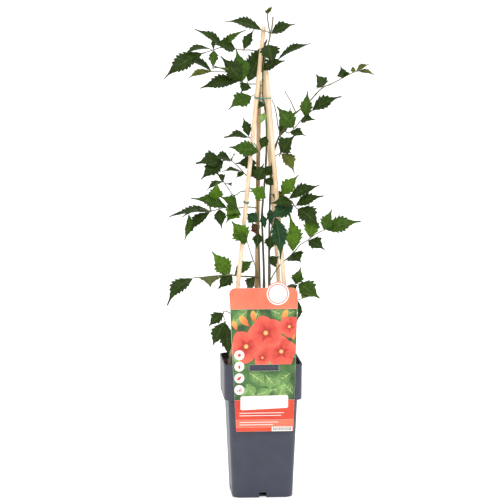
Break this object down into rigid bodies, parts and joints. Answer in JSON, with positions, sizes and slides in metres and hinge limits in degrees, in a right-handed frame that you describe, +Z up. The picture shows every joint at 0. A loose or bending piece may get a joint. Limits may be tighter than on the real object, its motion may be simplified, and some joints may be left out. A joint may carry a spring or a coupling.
{
  "type": "potted trumpet vine",
  "caption": "Young climbing vine with toothed pinnate leaves on four tied stakes, rooted in soil in a tall square nursery pot with a hanging care label.",
  "frame": {"origin": "middle of the pot's flat underside", "axes": "+Z up along the stakes, +X to the right and -Y to the front, where the label hangs; the pot's sides lie along X and Y"},
  "size_m": [0.3096, 0.1269, 0.7324],
  "materials": {
    "pot_plastic": "satin moulded polypropylene",
    "soil": "loose dark potting mix",
    "stake_wood": "split bamboo, sanded",
    "tie_wire": "coated wire",
    "label_card": "printed plastic card",
    "leaf": "thin green leaf with a soft waxy shine"
  },
  "bodies": {
    "root": {"pot": "pot_plastic", "soil": "soil", "stake_front_left": "stake_wood", "stake_front_right": "stake_wood", "stake_back_left": "stake_wood", "stake_back_right": "stake_wood", "tie_upper": "tie_wire", "tie_lower": "tie_wire", "label": "label_card", "leafy_stem_top": "leaf", "leafy_stem_right": "leaf", "leafy_stem_left": "leaf", "leafy_stem_low": "leaf", "leafy_stem_side": "leaf"}
  },
  "joints": []
}
